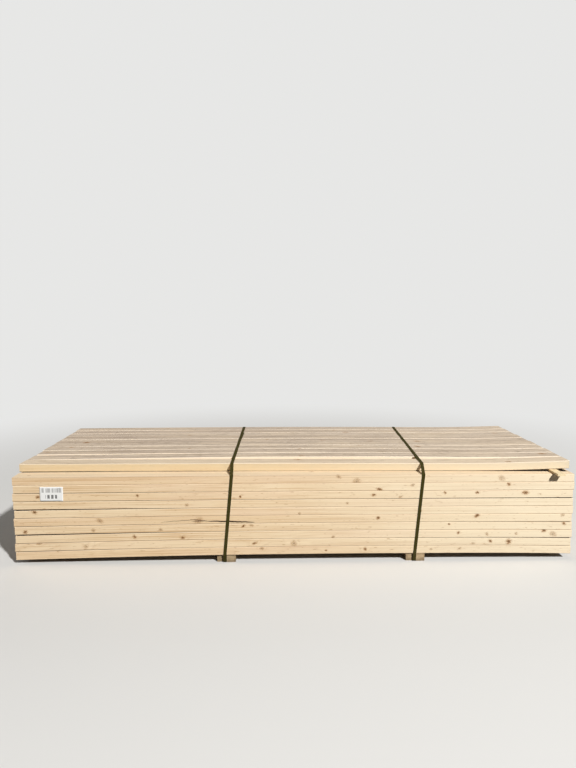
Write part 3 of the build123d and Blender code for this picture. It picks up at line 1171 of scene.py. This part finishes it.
def realise(source: bpy.types.Object, name: str) -> bpy.types.Object:
    """Turn an object's evaluated geometry into a plain mesh object and delete the source.

    Args:
        source: Object with live modifiers.
        name: Name of the new object.

    Returns:
        The new object, at the origin.
    """
    bpy.context.view_layer.update()
    graph = bpy.context.evaluated_depsgraph_get()
    mesh = bpy.data.meshes.new_from_object(source.evaluated_get(graph), depsgraph=graph)
    mesh.name = name
    bpy.data.objects.remove(source, do_unlink=True)
    return add_object(name, mesh)


@dataclass
class Stack:
    """The full courses and the narrower top course."""

    left_sags: tuple[float, ...] = (15.5, 13.5, 12.0, 8.5, 7.5, 6.5, 3.5, 3.2, 3.0, 2.8)
    right_sags: tuple[float, ...] = (8.4, 7.8, 5.5, 5.0, 3.2, 2.8, 2.4, 0.8, 0.6, 0.5)
    bottom_crown: float = 1.9
    thicknesses: tuple[float, ...] = (38.2, 38.2, 38.0, 38.2, 38.4, 38.0, 38.0, 38.2, 38.6, 38.0)
    top_ledges: tuple[float, float] = (92.0, 48.0)
    top_gaps_left: tuple[float, ...] = (4.0, 16.0, 1.5, 1.2, 1.0, 1.0, 1.0, 1.0, 1.0)
    top_gaps_right: tuple[float, ...] = (9.0, 3.0, 4.0, 4.0, 2.0, 2.0, 1.5, 1.5, 1.0)
    top_bows: tuple[float, ...] = (13.0, 58.0, 52.0, 50.5, 49.0, 48.0, 47.2, 46.5, 45.9, 45.5)
    top_drops: tuple[float, ...] = (0.2, 1.2, 0.9, 0.4, 0.0, 1.0, 0.2, 0.9, 0.5, 0.1)
    lath_lift: float = 9.8

    def build(self, colours: StudColours) -> None:
        """Build every course from the bottom up.

        Args:
            colours: Colours of the studs.
        """
        pitch = BOARD_WIDTH + BOARD_GAP
        fronts = tuple(place * pitch for place in range(BOARDS_PER_COURSE))
        for number in range(1, FULL_COURSES + 1):
            crown = self.bottom_crown * (1 - (number - 1) / FULL_COURSES)
            sizes = {
                "Left Sag": self.left_sags[number - 1] * MM,
                "Right Sag": self.right_sags[number - 1] * MM,
                "Crown": crown * MM,
                "Thickness": self.thicknesses[number - 1] * MM,
            }
            base_z = FIRST_COURSE_Z + (number - 1) * COURSE_PITCH
            layer = Layer(f"course_{number:02d}", number, base_z, fronts, fronts, 0.12, sizes=sizes)
            layer.build(colours)
            LOG.info("course %d: %d boards", number, BOARDS_PER_COURSE)
        self.top(colours)

    def top(self, colours: StudColours) -> None:
        """Build the top course, lifted at its right end by the lath.

        Args:
            colours: Colours of the studs.
        """
        left, right = ([ledge] for ledge in self.top_ledges)
        for gap_left, gap_right in zip(self.top_gaps_left, self.top_gaps_right):
            left.append(left[-1] + BOARD_WIDTH + gap_left)
            right.append(right[-1] + BOARD_WIDTH + gap_right)
        base_z = FIRST_COURSE_Z + FULL_COURSES * COURSE_PITCH
        Layer(
            "top_course", FULL_COURSES + 1, base_z, tuple(left), tuple(right), 0.92,
            self.top_drops, self.top_bows, {"Lift": self.lath_lift * MM},
        ).build(colours)
        LOG.info("top course: %d boards", len(left))


@dataclass
class Tag:
    """The paper tag, a little curled, and the staples that hold it."""

    columns: int = 24
    rows: int = 14
    curl: float = 3.5
    curl_from: tuple[float, float] = (0.72, 0.45)
    wave: float = 0.35
    paper: float = 0.25
    staple_width: float = 10.0
    staple_drop: float = 6.0
    staple_leg: float = 0.7
    wire: float = 0.6

    def build(self) -> None:
        """Build the sheet and its staples."""
        low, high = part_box("tag")
        self.sheet(Vector(low), Vector(high))
        self.staples(Vector(low), Vector(high))
        LOG.info("tag and staples")

    def sheet(self, low: Vector, high: Vector) -> None:
        """Build the sheet of paper.

        Args:
            low: The node's lowest corner.
            high: The node's highest corner.
        """
        work = bmesh.new()
        grid = []
        start_u, start_v = self.curl_from
        for row in range(self.rows + 1):
            v = row / self.rows
            line = []
            for column in range(self.columns + 1):
                u = column / self.columns
                corner = max(0.0, u - start_u) / (1 - start_u) * max(0.0, start_v - v) / start_v
                wave = self.wave * sin(5.0 * u + 1.0) * sin(pi * v)
                out = (self.curl * corner**1.6 + max(0.0, wave)) * MM
                x = low.x + (high.x - low.x) * u
                z = low.z + (high.z - low.z) * v
                line.append(work.verts.new((x, high.y - 0.00005 - out, z)))
            grid.append(line)
        for row in range(self.rows):
            for column in range(self.columns):
                lower, upper = grid[row], grid[row + 1]
                work.faces.new((lower[column], lower[column + 1], upper[column + 1], upper[column]))
        for face in work.faces:
            face.smooth = True
        mesh = bake(work, "tag_sheet")
        sheet = add_object("tag_sheet", mesh)
        solid = sheet.modifiers.new("paper", "SOLIDIFY")
        solid.thickness = self.paper * MM
        solid.offset = 1.0
        size = (high.x - low.x, high.z - low.z)
        mesh.materials.append(PaperFinish().material("tag_paper", (low.x, low.z), size))
        made = realise(sheet, "paper_tag")
        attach(made, "root")
        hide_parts("tag")

    def staples(self, low: Vector, high: Vector) -> None:
        """Build the staples near the tag's upper corners.

        Args:
            low: The node's lowest corner.
            high: The node's highest corner.
        """
        work = bmesh.new()
        half, leg = self.staple_width / 2 * MM, self.staple_leg * MM
        y, z = low.y - self.wire / 2 * MM, high.z - self.staple_drop * MM
        for share, tilt in ((0.14, 0.25), (0.85, -0.12)):
            centre = Vector((low.x + (high.x - low.x) * share, y, z))
            turn = Matrix.Rotation(tilt, 4, "Y")
            tips = [(-half, leg, 0), (-half, 0, 0), (half, 0, 0), (half, leg, 0)]
            tips = [centre + turn @ Vector(tip) for tip in tips]
            for start, end in ((tips[1], tips[2]), (tips[1], tips[0]), (tips[2], tips[3])):
                self.rod(work, start, end)
        mesh = bake(work, "staples")
        made = add_object("staples", mesh)
        mesh.materials.append(StapleFinish().material("staple_wire"))
        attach(made, "root")

    def rod(self, work: bmesh.types.BMesh, start: Vector, end: Vector) -> None:
        """Add a closed length of wire between two places.

        Args:
            work: Mesh being edited.
            start: Centre of one end.
            end: Centre of the other end.
        """
        run = end - start
        turn = run.to_track_quat("Z", "Y").to_matrix().to_4x4()
        middle = Matrix.Translation((start + end) / 2) @ turn
        bmesh.ops.create_cone(
            work, cap_ends=True, segments=8, radius1=self.wire / 2 * MM, radius2=self.wire / 2 * MM,
            depth=run.length + self.wire * MM * 0.5, matrix=middle,
        )


@dataclass
class FrameFinishes:
    """Finishes of the pieces that keep the frame's own meshes."""

    nodes: dict[str, bpy.types.Object]

    def dress(self) -> None:
        """Give each kept piece its material."""
        left = RoughSawnFinish(ring_centre=(RUNNER_LEFT_X * MM, 0.0, 0.012))
        right = RoughSawnFinish("cdb38c", "927c60", ring_centre=(RUNNER_RIGHT_X * MM, 0.0, 0.03))
        lath = RoughSawnFinish("efdcb6", "cbb083", "a58a62", (1.247, 0.0, 0.3))
        for node, finish in (("runner_left", left), ("runner_right", right), ("lath", lath)):
            self.cover(node, finish.material(f"{node}_wood"))
        strap = StrapFinish().material("strap_plastic")
        self.cover("strap_left", strap)
        self.cover("strap_right", strap)

    def cover(self, node: str, material: bpy.types.Material) -> None:
        """Put a material on a frame node's own mesh.

        Args:
            node: Name of the node.
            material: Material to show.
        """
        for slot in self.nodes[node].material_slots:
            slot.material = material
        LOG.info("finish on %s", node)


@dataclass
class PhotographCamera:
    """The camera that looks at the stack as the photograph does."""

    place: tuple[float, float, float] = (-118.0, -3233.95, 1170.0)
    yaw: float = 1.59
    pitch: float = 6.50
    roll: float = 0.09
    lens: float = 27.66

    def build(self) -> None:
        """Make the camera and set it as the scene's."""
        data = bpy.data.cameras.new("camera")
        data.sensor_width = 36.0
        data.sensor_fit = "AUTO"
        data.lens = self.lens
        data.clip_end = 200.0
        camera = add_object("camera", data)
        camera.location = Vector(self.place) * MM
        turn = Matrix.Rotation(-radians(self.yaw), 4, "Z")
        tip = Matrix.Rotation(radians(90 - self.pitch), 4, "X")
        camera.rotation_euler = (turn @ tip @ Matrix.Rotation(radians(self.roll), 4, "Z")).to_euler()
        bpy.context.scene.camera = camera


@dataclass(frozen=True)
class Lamp:
    """A soft lamp, placed by its bearing from straight in front towards +X and its height.

    Both angles are in degrees, the distance and the size in metres and the power in watts.
    Only a glossy lamp shows as a highlight.
    """

    name: str
    turn: float
    height: float
    distance: float
    size: float
    power: float
    glossy: bool = False
    aim: tuple[float, float, float] = (0.0, 0.0, 0.25)

    def build(self) -> None:
        """Make the lamp and aim it at the stack."""
        data = bpy.data.lights.new(self.name, "AREA")
        data.shape = "DISK"
        data.size = self.size
        data.energy = self.power
        lamp = add_object(self.name, data)
        lamp.visible_glossy = self.glossy
        turn, up = radians(self.turn), radians(self.height)
        flat = cos(up) * self.distance
        place = Vector((sin(turn) * flat, -cos(turn) * flat, sin(up) * self.distance))
        lamp.location = place
        lamp.rotation_euler = (Vector(self.aim) - place).to_track_quat("-Z", "Y").to_euler()


@dataclass
class Studio:
    """A pale floor, a white surround and soft lamps."""

    floor: str = "d9d8d5"
    shade: float = 0.15
    backdrop: tuple[float, float, float, float] = (0.80, 0.80, 0.79, 1.0)
    fade: tuple[float, float] = (1.6, 4.8)
    reach: float = 60.0
    sky: tuple[float, float, float, float] = (1.0, 0.90, 0.77, 1.0)
    sky_strength: float = 0.06

    def build(self) -> None:
        """Build the floor, the surround and the lamps."""
        self.make_floor()
        self.make_world()
        Lamp("key", turn=32, height=37, distance=18, size=0.9, power=4400, glossy=True).build()
        Lamp("left", turn=-97, height=26, distance=14, size=7, power=230).build()
        Lamp("back", turn=188, height=22, distance=14, size=8, power=420).build()
        bpy.context.scene.view_settings.view_transform = "Standard"

    @staticmethod
    def seen(graph: Graph) -> Socket:
        """Return 1 for rays that are seen directly or in a mirror, 0 for those that give light."""
        ray = graph.node("ShaderNodeLightPath").outputs
        mirrored = graph.most(ray["Is Glossy Ray"], ray["Is Transmission Ray"])
        return graph.most(ray["Is Camera Ray"], mirrored)

    def make_floor(self) -> None:
        """Make the floor, which fades into the backdrop and throws little light back."""
        mesh = bpy.data.meshes.new("floor")
        corners = [(x * self.reach, y * self.reach, 0) for x, y in ((-1, -1), (1, -1), (1, 1), (-1, 1))]
        mesh.from_pydata(corners, [], [(0, 1, 2, 3)])
        floor = add_object("floor", mesh)
        graph = ShaderGraph("floor_paint")
        place = graph.object_place()
        seen = self.seen(graph)
        dull = (self.shade, self.shade, self.shade, 1.0)
        material = graph.finish(graph.mix(seen, dull, srgb(self.floor)), 0.9, Specular_IOR_Level=0.1)
        far = graph.spread(graph.vector("LENGTH", place), *self.fade)
        glow = graph.out("ShaderNodeEmission", {"Color": self.backdrop, "Strength": 1.0})
        layers = {0: graph.mul(far, seen), 1: graph.surface.outputs[0], 2: glow}
        blend = graph.out("ShaderNodeMixShader", layers)
        output = next(node for node in graph.tree.nodes if node.type == "OUTPUT_MATERIAL")
        graph.tree.links.new(blend, output.inputs[0])
        mesh.materials.append(material)

    def make_world(self) -> None:
        """Make a surround that is the backdrop to the camera and a soft sky to the stack."""
        world = bpy.data.worlds.new("surround")
        world.use_nodes = True
        bpy.context.scene.world = world
        graph = Graph(world.node_tree)
        graph.tree.nodes.clear()
        seen = self.seen(graph)
        sky = graph.out("ShaderNodeBackground", {"Color": self.sky, "Strength": self.sky_strength})
        back = graph.out("ShaderNodeBackground", {"Color": self.backdrop, "Strength": 1.0})
        blend = graph.out("ShaderNodeMixShader", {0: seen, 1: sky, 2: back})
        graph.tree.links.new(blend, graph.node("ShaderNodeOutputWorld").inputs[0])


def main() -> None:
    """Load the frame and build the looks."""
    logging.basicConfig(level=logging.INFO, format="%(name)s: %(message)s")
    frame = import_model()
    PhotographCamera().build()
    Studio().build()
    Stack().build(StudColours())
    Tag().build()
    FrameFinishes(frame["nodes"]).dress()


if __name__ == "__main__":
    main()
